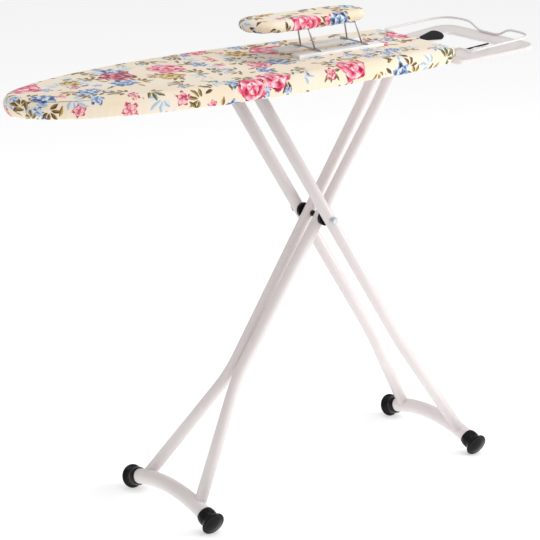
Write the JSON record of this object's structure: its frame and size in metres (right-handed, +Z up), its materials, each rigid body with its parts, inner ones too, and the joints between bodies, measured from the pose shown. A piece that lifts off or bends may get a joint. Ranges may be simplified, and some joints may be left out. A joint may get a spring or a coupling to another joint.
{
  "type": "ironing board",
  "caption": "Folding ironing board with scissor legs, a padded printed cover, an iron rest with a wire rack at its tail, and a small folding sleeve board on top.",
  "frame": {"origin": "on the floor, under the centre of the bounding box", "axes": "+X from the nose to the iron rest, +Y across the board, +Z up"},
  "size_m": [1.186, 0.3162, 0.986],
  "materials": {
    "printed_cotton": "cotton with a floral print",
    "felt": "needle felt",
    "white_steel": "warm white powder coat",
    "zinc_steel": "zinc plated",
    "zinc_wire": "zinc plated wire",
    "black_plastic": "glossy black",
    "black_silicone": "matt black",
    "white_plastic": "satin white"
  },
  "bodies": {
    "board": {"board_cover": "printed_cotton", "felt_pad": "felt", "mesh_panel": "white_steel", "rim_tube": "white_steel", "cross_ribs": "white_steel", "guide_rails": "zinc_steel", "leg_brackets": "zinc_steel", "leg_hinge_rod": "zinc_steel", "latch_bearings": "zinc_steel", "rest_frame": "white_steel", "rest_wire_rack": "zinc_wire", "pad_brackets": "white_steel", "rest_pad_left": "black_silicone", "rest_pad_right": "black_silicone", "rest_screws": "zinc_steel", "latch_spring": "zinc_wire"},
    "inner_legs": {"inner_leg_left": "white_steel", "inner_leg_right": "white_steel", "hinge_spacers": "black_plastic", "inner_foot_bar": "white_steel", "inner_foot_cap_left": "black_plastic", "inner_foot_cap_right": "black_plastic", "pivot_bolt": "zinc_steel", "pivot_nut": "zinc_steel", "pivot_washers": "zinc_steel", "pivot_spacers": "black_plastic"},
    "outer_legs": {"outer_leg_left": "white_steel", "outer_leg_right": "white_steel", "slide_bar": "zinc_steel", "slide_rollers": "black_plastic", "outer_foot_bar": "white_steel", "outer_foot_cap_left": "black_plastic", "outer_foot_cap_right": "black_plastic"},
    "latch": {"latch_shaft": "zinc_steel", "latch_hooks": "zinc_steel", "release_handle": "zinc_steel", "handle_grip": "black_plastic"},
    "sleeve_base": {"sleeve_skid_left": "white_plastic", "sleeve_skid_right": "white_plastic", "skid_clips": "zinc_steel"},
    "sleeve_front_link": {"sleeve_leg_front": "zinc_wire"},
    "sleeve_rear_link": {"sleeve_leg_rear": "zinc_wire"},
    "sleeve_board": {"sleeve_panel": "white_plastic", "sleeve_pad": "felt", "sleeve_cover": "printed_cotton", "sleeve_hinge_clips": "white_plastic"}
  },
  "joints": [
    {"name": "leg_fold", "type": "hinge", "parent": "board", "child": "inner_legs", "pos_m": [0.3, 0, 0.862], "axis": [0, 1, 0], "range_deg": [0, 54]},
    {"name": "leg_scissor", "type": "hinge", "parent": "inner_legs", "child": "outer_legs", "pos_m": [0.115, 0, 0.5685], "axis": [0, 1, 0], "range_deg": [-108, 0]},
    {"name": "latch_release", "type": "hinge", "parent": "board", "child": "latch", "pos_m": [-0.015, 0, 0.876], "axis": [0, 1, 0], "range_deg": [0, 4], "stiffness_Nm_per_rad": 1.5, "springref_deg": -5.73},
    {"name": "sleeve_lift", "type": "slide", "parent": "board", "child": "sleeve_base", "axis": [0, 0, 1], "range_m": [0, 0.12]},
    {"name": "sleeve_fold", "type": "hinge", "parent": "sleeve_base", "child": "sleeve_front_link", "pos_m": [0.102, 0.008, 0.9162], "axis": [0, -1, 0], "range_deg": [0, 62]},
    {"name": "sleeve_rear_fold", "type": "hinge", "parent": "sleeve_base", "child": "sleeve_rear_link", "pos_m": [0.221, 0.008, 0.9162], "axis": [0, -1, 0], "range_deg": [0, 62]},
    {"name": "sleeve_level", "type": "hinge", "parent": "sleeve_front_link", "child": "sleeve_board", "pos_m": [0.089, 0.008, 0.9595], "axis": [0, -1, 0], "range_deg": [-62, 0]}
  ],
  "couplings": [
    {"joint": "leg_scissor", "follows": "leg_fold", "ratio": -2},
    {"joint": "sleeve_rear_fold", "follows": "sleeve_fold", "ratio": 1},
    {"joint": "sleeve_level", "follows": "sleeve_fold", "ratio": -1}
  ]
}
